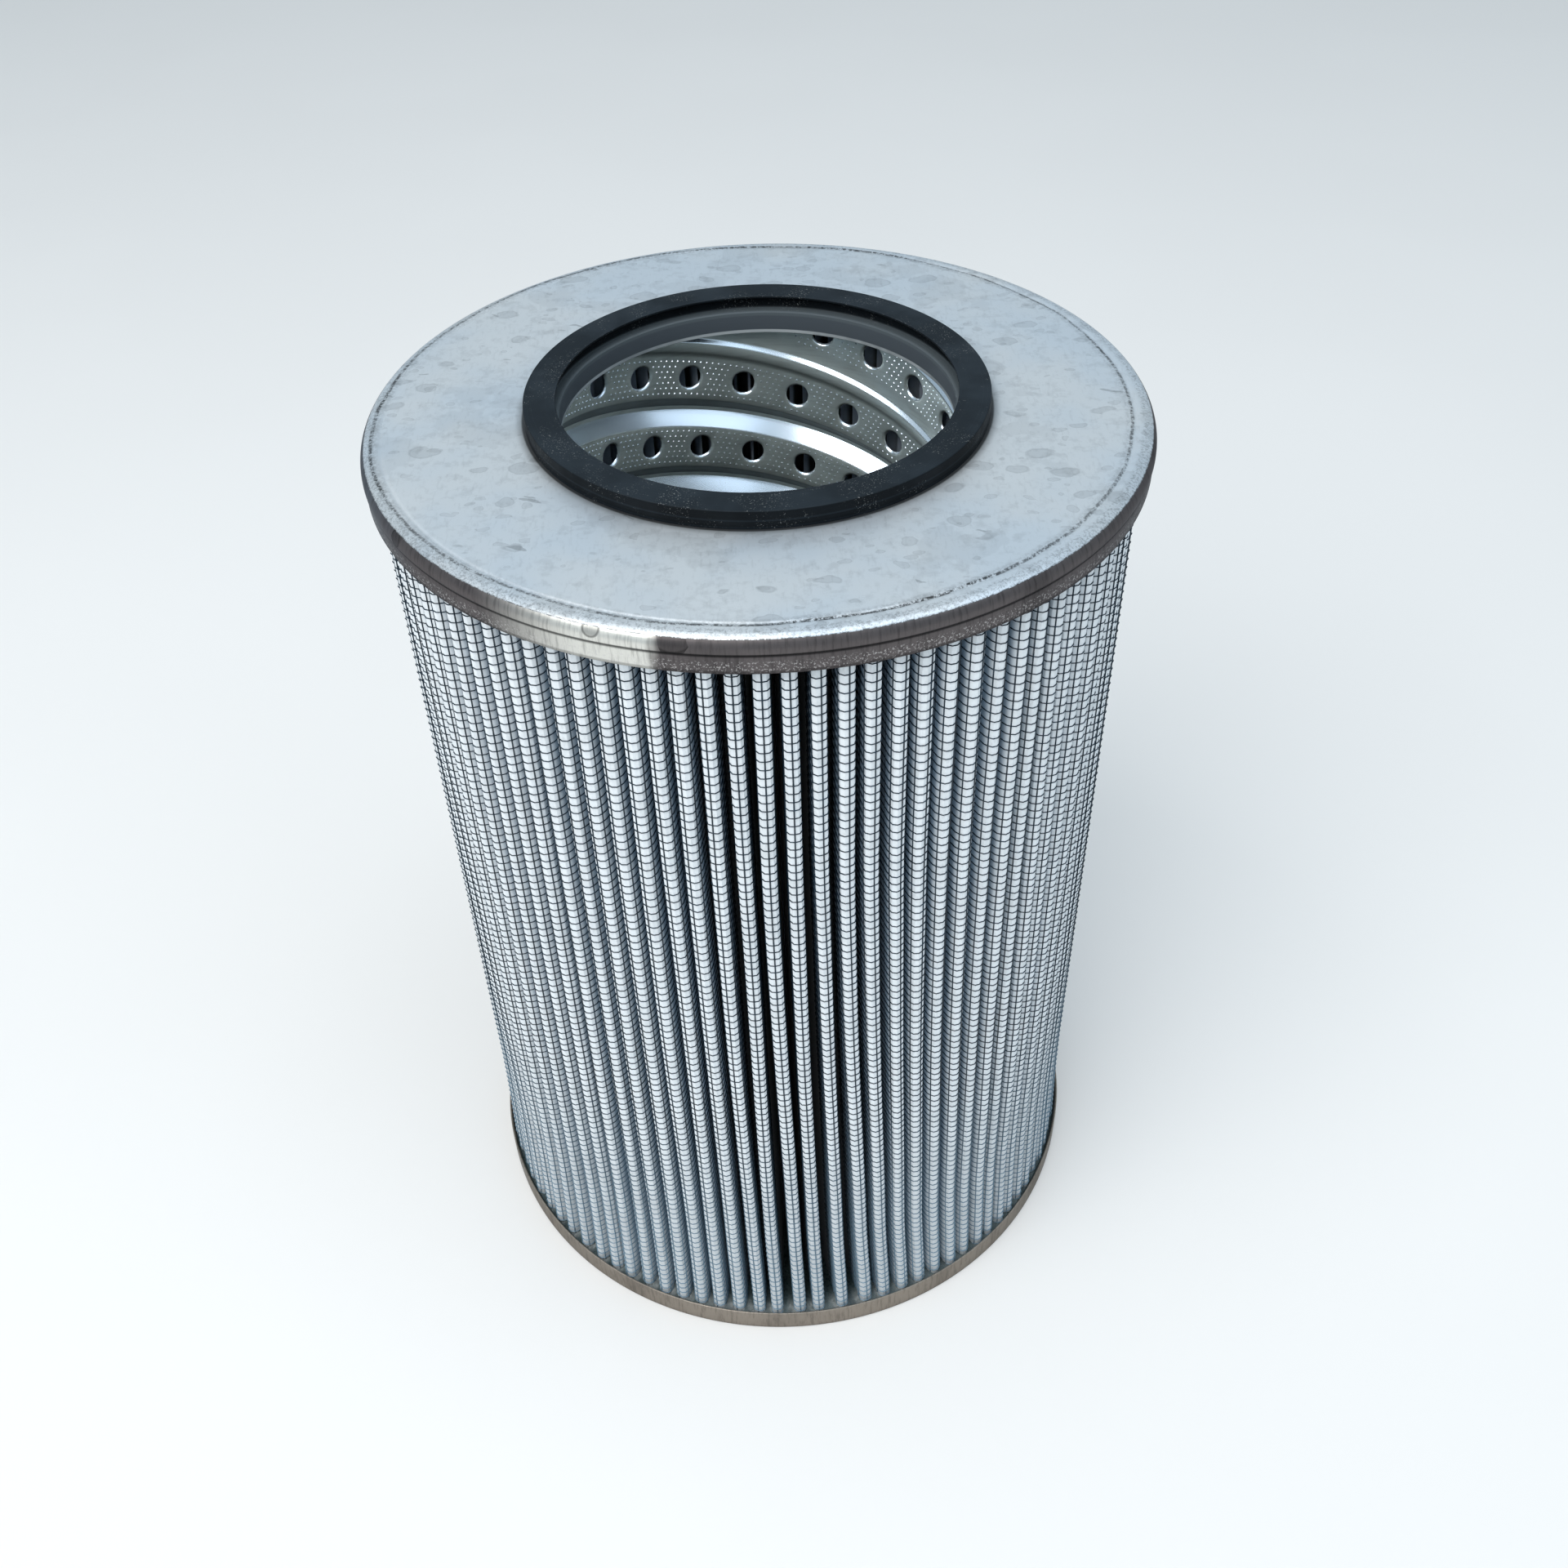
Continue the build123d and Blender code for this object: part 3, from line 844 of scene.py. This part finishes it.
class MakeBottomCap(bpy.types.Operator):
    """Makes the closed bottom end cap with its rounded edge and upright rim"""

    bl_idname = "filter.make_bottom_cap"
    bl_label = "Bottom end cap"

    # Distance in from the side at which the drawn side's finish starts
    DRAWN_WIDTH = 1.0 * MM

    def execute(self, context):
        sizes = context.scene.filter_sizes
        outer = BASE_CAP_HIGH.x / MM
        rim = BASE_CAP_HIGH.z / MM - 0.7
        sheet = sizes.sheet / MM
        outline = rounded(
            (
                (0.4, 0.0, 0.0),
                (outer - 5.5, 0.0, 0.3),
                (outer - 5.0, 0.2, 0.3),
                (outer - 4.5, 0.0, 0.3),
                (outer - 0.1, 0.0, 1.0),
                (outer, 1.2, 0.9),
                (outer, rim, 0.2),
                (outer - 0.35, rim, 0.1),
                (outer - sheet, rim - 1.2, 0.4),
                (outer - sheet, sheet, 0.5),
                (0.4, sheet, 0.0),
            )
        )
        points, faces = turned(outline, closed=False)
        inner = len(outline)
        ring = np.arange(TURN_STEPS) * inner
        faces = [*faces.tolist(), ring[::-1].tolist(), (ring + inner - 1).tolist()]
        middle = np.array([points[f].mean(axis=0) for f in faces])
        drawn = np.hypot(middle[:, 0], middle[:, 1]) > BASE_CAP_HIGH.x - self.DRAWN_WIDTH
        materials = [finish(tinplate_finish, "tinplate"), finish(skirt_finish, "drawn_skirt")]
        add_piece("bottom_cap", points, faces, materials, ["bottom_end_cap"], "cap_steel", drawn)
        return {"FINISHED"}


class MakeSeal(bpy.types.Operator):
    """Makes the rubber seal grommet: flange, undercut mouth and gripping lip"""

    bl_idname = "filter.make_seal"
    bl_label = "Seal grommet"

    def execute(self, context):
        sizes = context.scene.filter_sizes
        cap = TOP_CAP_HIGH.z / MM
        top = SEAL_HIGH.z / MM
        foot = (SEAL_LOW.z - SEAL_FOOT_DROP) / MM
        hole = CAP_HOLE / MM
        flange = SEAL_HIGH.x / MM
        bore = sizes.bore_radius / MM
        sheet = sizes.sheet / MM
        outline = rounded(
            (
                (bore, foot, 0.25),
                (bore, cap + 0.3, 0.2),
                (hole + 0.2, cap + 0.5, 0.3),
                (hole + 0.2, cap + 2.8, 0.4),
                (bore + 0.3, top - 0.45, 0.2),
                (bore + 0.25, top, 0.15),
                (flange, top, 0.35),
                (flange, cap, 0.12),
                (hole, cap, 0.0),
                (hole, cap - sheet, 0.0),
                (hole + 0.8, cap - sheet, 0.1),
                (hole + 0.8, foot, 0.3),
            )
        )
        points, faces = turned(outline)
        materials = [finish(rubber_finish, "moulded_rubber")]
        add_piece("seal_ring", points, faces, materials, ["seal_grommet"], "seal_rubber")
        return {"FINISHED"}


class MakeCore(bpy.types.Operator):
    """Makes the perforated core: rows of flared holes, beads and a lock seam between them, and dimples"""

    bl_idname = "filter.make_core"
    bl_label = "Core tube"

    HOLES_PER_TURN = 22
    ROW_STARTS = 4
    CELL_COLUMNS = 8
    CELL_ROWS = 4
    BEAD_PLACES = (-1.0, -0.86, -0.30, -0.12, 0.12, 0.30, 0.86, 1.0)
    BEAD_SHARES = (0.0, 0.09, 0.84, 0.98, 0.98, 0.84, 0.09, 0.0)
    SEAM_ROW = 3
    SEAM_PLACES = (-1.0, -0.86, -0.62, -0.42, 0.05, 0.14, 0.26, 0.38, 1.0)
    SEAM_DEPTHS = (0.0, 0.0, -0.45, -0.75, -0.80, -0.62, -0.10, 0.08, 0.0)
    ROW_PHASES = (1, -3, -2, 2)
    FIRST_ROW = 8.65 * MM
    BAND_LOW = -4.8 * MM
    BAND_HIGH = 4.5 * MM
    ROWS = range(-5, 13)
    SHEET = 0.6 * MM
    END_MARGIN = 3.2 * MM
    # The flared edge of a hole, as rings: how far each stands from the edge, and how far out it is pressed
    FLARE = ((0.75 * MM, 0.0), (0.42 * MM, 0.06 * MM), (0.12 * MM, 0.28 * MM), (0.0, 0.55 * MM))
    DIMPLE_LINES = 7
    DIMPLE_LINE_PITCH = 1.25 * MM
    DIMPLES_ACROSS = 9
    DIMPLE_REACH = 0.30 * MM
    DIMPLE_HEIGHT = 0.19 * MM
    DIMPLE_SIDES = 4
    DIMPLE_CLEARANCE = 1.0 * MM
    # The dimples' rims sink this far into the sheet
    DIMPLE_SINK = 0.01 * MM
    # Points nearer than this are joined
    WELD = 0.01 * MM

    def place(self, across, height, out=0.0):
        """Points on the tube's inner face: across is the distance round it."""
        turn = across / CORE_BORE
        radius = CORE_BORE + out
        return np.stack((radius * np.cos(turn), radius * np.sin(turn), height + 0 * turn), axis=-1)

    def rings_of_hole(self, width, slope, radius):
        """Outline of a cell round its hole, and the rings from it in to the hole's flared edge."""
        columns = np.linspace(-width / 2, width / 2, self.CELL_COLUMNS + 1)
        rows = np.linspace(self.BAND_LOW, self.BAND_HIGH, self.CELL_ROWS + 1)
        edge = [(u, self.BAND_LOW) for u in columns[:-1]]
        edge += [(width / 2, v) for v in rows[:-1]]
        edge += [(u, self.BAND_HIGH) for u in columns[:0:-1]]
        edge += [(-width / 2, v) for v in rows[:0:-1]]
        edge = np.array(edge)
        edge[:, 1] += slope * edge[:, 0]
        toward = np.arctan2(edge[:, 1], edge[:, 0])
        rings = [(edge, 0.0)]
        for reach, out in self.FLARE:
            size = radius + reach
            rings.append((np.stack((size * np.cos(toward), size * np.sin(toward)), axis=-1), out))
        return rings

    def execute(self, context):
        sizes = context.scene.filter_sizes
        pitch = sizes.row_pitch
        width = 2 * np.pi * CORE_BORE / self.HOLES_PER_TURN
        slope = self.ROW_STARTS * pitch / (2 * np.pi * CORE_BORE)
        column = width / self.CELL_COLUMNS
        rings = self.rings_of_hole(width, slope, sizes.hole_radius)
        ring_faces = strip_faces(len(rings), len(rings[0][0]), wrap_columns=True)
        bead = np.array(self.BEAD_PLACES), np.array(self.BEAD_SHARES) * sizes.bead_depth
        seam = np.array(self.SEAM_PLACES), np.array(self.SEAM_DEPTHS) * MM
        low, high = self.BAND_HIGH - pitch, self.BAND_LOW
        plain_rows = np.linspace(self.BAND_LOW, self.BAND_HIGH, self.CELL_ROWS + 1)
        wall, centres = Parts(), []
        for row in self.ROWS:
            phase = self.ROW_PHASES[row % self.ROW_STARTS] * column
            places, depths = seam if row % self.ROW_STARTS == self.SEAM_ROW else bead
            between_rows = (low + high) / 2 + places * (high - low) / 2
            for step in range(self.HOLES_PER_TURN):
                across = step * width + phase
                centre = self.FIRST_ROW + row * pitch + across * slope
                if not CORE_LOW.z - pitch < centre < CORE_HIGH.z + pitch:
                    continue
                if CORE_LOW.z + self.END_MARGIN < centre < CORE_HIGH.z - self.END_MARGIN:
                    centres.append((across, centre))
                    cell = [self.place(across + at[:, 0], centre + at[:, 1], out) for at, out in rings]
                    wall.add(np.concatenate(cell), ring_faces)
                else:
                    self.patch(wall, across, centre, plain_rows, 0 * plain_rows, width, slope)
                self.patch(wall, across, centre, between_rows, depths, width, slope)
        self.close_wall(*wall.joined())
        self.add_dimples(centres, slope, width, sizes.hole_radius)
        return {"FINISHED"}

    def patch(self, wall, across, centre, rows, depths, width, slope):
        """Adds a patch of wall without a hole, pressed out by a depth at each of its rows."""
        columns = np.linspace(-width / 2, width / 2, self.CELL_COLUMNS + 1)
        u, v = np.meshgrid(columns, rows)
        points = self.place(across + u, centre + v + slope * u, depths[:, None])
        wall.add(points, strip_faces(len(rows), len(columns))[:, ::-1])

    def close_wall(self, points, faces):
        """Joins the patches, trims the tube to its length and gives the sheet its thickness."""
        work = bmesh.new()
        verts = [work.verts.new(p) for p in points.tolist()]
        for face in faces.tolist():
            work.faces.new([verts[i] for i in face])
        bmesh.ops.remove_doubles(work, verts=work.verts, dist=self.WELD)
        for height, up in ((CORE_LOW.z, -1), (CORE_HIGH.z, 1)):
            bmesh.ops.bisect_plane(
                work,
                geom=[*work.verts, *work.edges, *work.faces],
                dist=1e-6,
                plane_co=(0, 0, height),
                plane_no=(0, 0, up),
                clear_outer=True,
            )
        bmesh.ops.recalc_face_normals(work, faces=work.faces)
        first = next(iter(work.faces))
        middle, normal = first.calc_center_median(), first.normal
        if middle.x * normal.x + middle.y * normal.y > 0:
            bmesh.ops.reverse_faces(work, faces=work.faces)
        bmesh.ops.solidify(work, geom=work.faces[:], thickness=self.SHEET)
        mesh_points = np.array([v.co for v in work.verts])
        index = {v: i for i, v in enumerate(work.verts)}
        # The sheet's edge faces come in any order, so all are sorted to give the same mesh each run
        mesh_faces = sorted([index[v] for v in f.verts] for f in work.faces)
        work.free()
        materials = [finish(core_finish, "core_sheet")]
        add_piece("core_wall", mesh_points, mesh_faces, materials, ["core_tube"], "core_steel")

    def add_dimples(self, centres, slope, width, hole):
        """Presses small dimples into the bands between the holes, standing inwards."""
        lines = (np.arange(self.DIMPLE_LINES) - self.DIMPLE_LINES // 2) * self.DIMPLE_LINE_PITCH
        steps = np.arange(self.DIMPLES_ACROSS) - self.DIMPLES_ACROSS // 2
        spacing = width / self.DIMPLES_ACROSS
        sides = self.DIMPLE_SIDES
        ring = np.linspace(0, 2 * np.pi, sides, endpoint=False)
        reach = self.DIMPLE_REACH
        faces = [[s, sides, (s + 1) % sides] for s in range(sides)]
        dimples = Parts()
        for across, centre in centres:
            for number, v in enumerate(lines):
                stagger = 0.5 * (number % 2)
                for u in (steps + stagger) * spacing:
                    height = centre + v + slope * u
                    on_tube = CORE_LOW.z + reach < height < CORE_HIGH.z - reach
                    if not on_tube or math.hypot(u, v) < hole + self.DIMPLE_CLEARANCE:
                        continue
                    place = across + u
                    rim = place + reach * np.cos(ring), height + reach * np.sin(ring)
                    base = self.place(*rim, self.DIMPLE_SINK)
                    peak = self.place(np.array([place]), height, -self.DIMPLE_HEIGHT)
                    dimples.add(np.concatenate((base, peak)), faces)
        materials = [finish(core_finish, "core_sheet")]
        add_piece("core_dimples", *dimples.joined(), materials, slot="core_steel")


class MakeMedia(bpy.types.Operator):
    """Makes the pleated white media, with each pleat's own lean and drift"""

    bl_idname = "filter.make_media"
    bl_label = "Pleated media"

    HEIGHT_STEPS = 20
    # Half the gap between the clean faces of a folded pleat
    CLEAN_GAP = 0.08 * MM

    def execute(self, context):
        sizes = context.scene.filter_sizes
        lay = PleatLay(sizes)
        rows = self.HEIGHT_STEPS + 1
        heights = np.linspace(PACK_LOW.z - sizes.bedding, PACK_HIGH.z, rows)[:, None, None]
        pleat = np.arange(lay.count)[None, :, None]
        along = lay.stations(pleat)
        outer = lay.on_face(pleat, along, heights, lay.puff(pleat, along))
        inner = lay.on_face(pleat, along, heights, self.CLEAN_GAP - NOSE * lay.half[pleat])
        before = (np.arange(lay.count) - 1)[None, :, None] % lay.count
        turn = lay.valley(before, heights)
        valley = self.at(turn, lay.root + LAMINATE, heights)
        root = self.at(turn, lay.root, heights)
        dirty = np.concatenate((valley, outer), axis=2).reshape(-1, 3)
        clean = np.concatenate((root, inner), axis=2).reshape(-1, 3)
        columns = lay.count * (along.shape[2] + 1)
        sides = strip_faces(rows, columns, wrap_columns=True)
        shift = len(dirty)
        ring = np.arange(columns)
        after = np.roll(ring, -1)
        last = (rows - 1) * columns
        foot = np.stack((ring, ring + shift, after + shift, after), axis=-1)
        head = np.stack((ring + last, after + last, after + last + shift, ring + last + shift), axis=-1)
        faces = np.concatenate((sides, sides[:, ::-1] + shift, foot, head))
        materials = [finish(media_finish, "pleated_media")]
        points = np.concatenate((dirty, clean))
        add_piece("pleated_media", points, faces, materials, ["pleat_pack"], "filter_media")
        return {"FINISHED"}

    @staticmethod
    def at(turn, radius, heights):
        """Points at a direction and radius at each height."""
        heights = np.broadcast_to(heights, turn.shape)
        return np.stack((radius * np.cos(turn), radius * np.sin(turn), heights), axis=-1)


class MakeWireCloth(bpy.types.Operator):
    """Makes the wire cloth folded with the media: cross wires round each pleat and wires along it"""

    bl_idname = "filter.make_wire_cloth"
    bl_label = "Wire cloth"

    SECTORS = 4
    FLANK_REACH = 8.2 * MM
    WIRE_SIDES = 3
    HEIGHT_STEPS = 14
    WARPS_EACH_SIDE = 3
    # Height of the first cross wire, in pitches
    FIRST_COURSE = 0.6
    # Height of a wire's middle over the media, in radii of the wire
    CROSS_STAND = 0.35
    LENGTHWISE_STAND = 0.5
    LENGTHWISE_WIDTH = 1.2

    def execute(self, context):
        sizes = context.scene.filter_sizes
        lay = PleatLay(sizes)
        per_sector = lay.count // self.SECTORS
        for sector in range(self.SECTORS):
            pleats = np.arange(sector * per_sector, (sector + 1) * per_sector)
            cloth = Parts()
            cloth.add(*self.cross_wires(lay, pleats, sizes))
            cloth.add(*self.lengthwise_wires(lay, pleats, sizes))
            materials = [finish(wire_finish, "coated_wire")]
            add_piece(f"wire_cloth_{sector + 1}", *cloth.joined(), materials, ["pleat_pack"])
        return {"FINISHED"}

    def tube_faces(self, wires, stations):
        """Faces of many thin wires, each a run of rings."""
        one = strip_faces(stations, self.WIRE_SIDES, wrap_columns=True)
        start = np.arange(wires)[:, None, None] * stations * self.WIRE_SIDES
        return (one[None] + start).reshape(-1, 4)

    def ring(self):
        """Directions of the corners of a wire's section."""
        return np.linspace(0, 2 * np.pi, self.WIRE_SIDES, endpoint=False)

    def cross_wires(self, lay, pleats, sizes):
        """Wires that run round each fold, at one height each."""
        radius = sizes.wire / 2
        low = PACK_LOW.z - sizes.bedding + self.FIRST_COURSE * sizes.course_pitch
        courses = int((PACK_HIGH.z - low) / sizes.course_pitch)
        course = (low + np.arange(courses) * sizes.course_pitch)[None, :, None, None]
        pleat = pleats[:, None, None, None]
        middle = lay.stations(pleat[..., 0])[..., None]
        end = np.full(middle[:, :, :1].shape, self.FLANK_REACH)
        along = np.concatenate((-end, middle, end), axis=2)
        height = course + lay.course_shift[pleat] + lay.course_tilt[pleat] * along
        swell = np.where(np.abs(along) < self.FLANK_REACH, lay.puff(pleat, along), 0.0)
        off = swell + radius * (self.CROSS_STAND + np.cos(self.ring()))
        points = lay.on_face(pleat, along, height + radius * np.sin(self.ring()), off)
        return points, self.tube_faces(len(pleats) * courses, along.shape[2])

    def lengthwise_wires(self, lay, pleats, sizes):
        """Wires that run up each pleat, spaced along the folded cloth."""
        radius = sizes.wire / 2
        number = np.arange(-self.WARPS_EACH_SIDE, self.WARPS_EACH_SIDE + 1)[None, :, None, None]
        pleat = pleats[:, None, None, None]
        rings = self.HEIGHT_STEPS + 1
        height = np.linspace(PACK_LOW.z - sizes.bedding, PACK_HIGH.z, rings)[None, None, :, None]
        along = (number + lay.warp_start[pleat]) * sizes.warp_pitch
        along = along + self.LENGTHWISE_WIDTH * radius * np.sin(self.ring())
        off = radius * (self.LENGTHWISE_STAND + np.cos(self.ring()))
        points = lay.on_face(pleat, along, height, off)
        return points, self.tube_faces(len(pleats) * number.size, rings)


class MakeAdhesive(bpy.types.Operator):
    """Makes the beds of adhesive in both caps, drawn up a little against each pleat"""

    bl_idname = "filter.make_adhesive"
    bl_label = "Adhesive beds"

    STEPS_PER_PLEAT = 6
    # Free face of a bed from the core out to the cap, in millimetres: the radius, how far the face stands
    # into the pack, and how far it creeps along a pleat there
    PROFILE = (
        (41.0, 0.3, 0.2),
        (44.0, 0.3, 0.3),
        (58.0, 0.3, 0.3),
        (68.0, 0.0, 0.4),
        (70.5, -0.6, 0.5),
        (72.0, -1.2, 0.5),
        (73.0, -1.6, 0.45),
        (73.6, -1.7, 0.35),
        (73.9, -1.3, 0.3),
    )
    # Half width in degrees of the creep on a pleat, its curve, and the shares of it between and at the pleats
    CREEP_WIDTH = 1.9
    CREEP_CURVE = 0.7
    CREEP_BETWEEN = 0.2
    CREEP_AT_PLEAT = 0.9
    UNEVENNESS = 0.12

    def execute(self, context):
        sizes = context.scene.filter_sizes
        bottom = BASE_CAP_LOW.z + sizes.sheet
        self.bed("bottom_adhesive", bottom, PACK_LOW.z, 1.0, "bottom_potting", sizes)
        top = TOP_CAP_HIGH.z - sizes.sheet
        self.bed("top_adhesive", top, PACK_HIGH.z, -1.0, "top_potting", sizes)
        return {"FINISHED"}

    def bed(self, name, back, face, sign, node, sizes):
        """A ring of adhesive from a cap's sheet to its free face, which creeps along the pleats."""
        chance = np.random.default_rng(SEED + int(back * 1e4))
        lay = PleatLay(sizes)
        steps = lay.count * self.STEPS_PER_PLEAT
        turn = np.linspace(0, 2 * np.pi, steps, endpoint=False)
        radii, level, reach = np.array(self.PROFILE).T * MM
        place = lay.turn(np.arange(lay.count), np.full(lay.count, face))
        away = np.abs((turn[:, None] - place + np.pi) % (2 * np.pi) - np.pi).min(axis=1)
        creep = np.clip(1.0 - away / np.radians(self.CREEP_WIDTH), 0, 1) ** self.CREEP_CURVE
        uneven = chance.normal(0, self.UNEVENNESS, steps)
        uneven = (uneven + np.roll(uneven, 1) + np.roll(uneven, -1)) / 3
        share = self.CREEP_BETWEEN + self.CREEP_AT_PLEAT * creep + uneven
        rise = level + reach * share[:, None]
        free = round_axis(turn, radii, face + sign * rise)
        rear = round_axis(turn, radii[[-1, 0]], back)
        points = np.concatenate((free, rear), axis=1).reshape(-1, 3)
        faces = strip_faces(steps, len(radii) + 2, wrap_rows=True, wrap_columns=True)
        faces = faces[:, ::-1] if sign > 0 else faces
        add_piece(name, points, faces, [finish(adhesive_finish, "cured_adhesive")], [node], "adhesive")


class MakeStudio(bpy.types.Operator):
    """Makes the stage: a plain pale floor, soft lamps, pale surroundings and the camera"""

    bl_idname = "filter.make_studio"
    bl_label = "Studio"

    FLOOR_HALF = 3.0
    # Each lamp's name, place, size, power in watts and colour
    LAMPS = (
        ("key_lamp", (-0.50, -0.65, 1.20), 1.0, 13.5, (1.0, 0.99, 0.97)),
        ("overhead_lamp", (-0.05, -0.10, 1.35), 0.8, 2.5, (0.95, 0.98, 1.0)),
        ("right_lamp", (0.64, -0.35, 1.25), 1.1, 3.5, (0.78, 0.89, 1.0)),
    )
    SURROUNDINGS_COLOUR = (0.72, 0.88, 1.0, 1.0)
    SURROUNDINGS_STRENGTH = 0.50
    # The camera's place, its turns to the side, down and about its own axis in radians, and its lens
    CAMERA_PLACE = (0.0, -0.2740, 0.3561)
    CAMERA_TURN = (0.0101, 0.7313, 0.0311)
    CAMERA_LENS = 36.54

    def execute(self, context):
        self.floor()
        self.surroundings(context.scene)
        for lamp in self.LAMPS:
            self.lamp(*lamp)
        self.camera(context.scene)
        return {"FINISHED"}

    def floor(self):
        """A wide, plain, pale floor."""
        half = self.FLOOR_HALF
        corners = [(-half, -half, 0), (half, -half, 0), (half, half, 0), (-half, half, 0)]
        mesh = bpy.data.meshes.new("studio_floor")
        mesh.from_pydata(corners, [], [(0, 1, 2, 3)])
        mesh.materials.append(finish(floor_finish, "studio_floor"))
        floor = bpy.data.objects.new("studio_floor", mesh)
        bpy.context.scene.collection.objects.link(floor)

    def surroundings(self, scene):
        """Soft pale light from all round."""
        world = bpy.data.worlds.new("studio_surroundings")
        scene.world = world
        world.use_nodes = True
        soft = world.node_tree.nodes["Background"]
        soft.inputs["Color"].default_value = self.SURROUNDINGS_COLOUR
        soft.inputs["Strength"].default_value = self.SURROUNDINGS_STRENGTH
        scene.view_settings.view_transform = "Standard"

    def lamp(self, name, place, size, power, tone):
        """A square soft lamp aimed at the middle of the element."""
        data = bpy.data.lights.new(name, "AREA")
        data.size = size
        data.energy = power
        data.color = tone
        lamp = bpy.data.objects.new(name, data)
        lamp.location = place
        aim = (CAD_LOW + CAD_HIGH) / 2 - lamp.location
        lamp.rotation_euler = aim.to_track_quat("-Z", "Y").to_euler()
        bpy.context.scene.collection.objects.link(lamp)

    def camera(self, scene):
        """Looks down at the front of the element from just above it."""
        data = bpy.data.cameras.new("studio_camera")
        data.lens = self.CAMERA_LENS
        data.sensor_width = 36.0
        data.clip_start = 0.01
        camera = bpy.data.objects.new("studio_camera", data)
        yaw, pitch, roll = self.CAMERA_TURN
        camera.matrix_world = (
            Matrix.Translation(self.CAMERA_PLACE)
            @ Matrix.Rotation(-yaw, 4, "Z")
            @ Matrix.Rotation(math.pi / 2 - pitch, 4, "X")
            @ Matrix.Rotation(-roll, 4, "Z")
        )
        scene.collection.objects.link(camera)
        scene.camera = camera


class FilterPanel(bpy.types.Panel):
    """Lists the element's sizes and colours, and a button for each piece"""

    bl_idname = "VIEW3D_PT_filter_element"
    bl_label = "Pleated Filter Element"
    bl_space_type = "VIEW_3D"
    bl_region_type = "UI"
    bl_category = "Filter"

    def draw(self, context):
        layout = self.layout
        scene = context.scene
        for title, group in (("Sizes", scene.filter_sizes), ("Colours", scene.filter_colours)):
            box = layout.box()
            box.label(text=title)
            for name in type(group).__annotations__:
                box.prop(group, name)
        for operator in MAKERS:
            layout.operator(operator.bl_idname)


MAKERS = (
    MakeTopCap,
    MakeBottomCap,
    MakeSeal,
    MakeCore,
    MakeMedia,
    MakeWireCloth,
    MakeAdhesive,
    MakeStudio,
)
CLASSES = (FilterSizes, FilterColours, *MAKERS, FilterPanel)


def register():
    """Registers the classes and puts the sizes and colours on the scene."""
    for item in CLASSES:
        bpy.utils.register_class(item)
    bpy.types.Scene.filter_sizes = bpy.props.PointerProperty(type=FilterSizes)
    bpy.types.Scene.filter_colours = bpy.props.PointerProperty(type=FilterColours)


def unregister():
    """Takes the sizes and colours off the scene and unregisters the classes."""
    del bpy.types.Scene.filter_colours
    del bpy.types.Scene.filter_sizes
    for item in reversed(CLASSES):
        bpy.utils.unregister_class(item)


def main():
    """Makes every piece and the stage."""
    register()
    bpy.ops.filter.make_studio()
    bpy.ops.filter.make_top_cap()
    bpy.ops.filter.make_bottom_cap()
    bpy.ops.filter.make_seal()
    bpy.ops.filter.make_core()
    bpy.ops.filter.make_media()
    bpy.ops.filter.make_wire_cloth()
    bpy.ops.filter.make_adhesive()


if __name__ == "__main__":
    main()
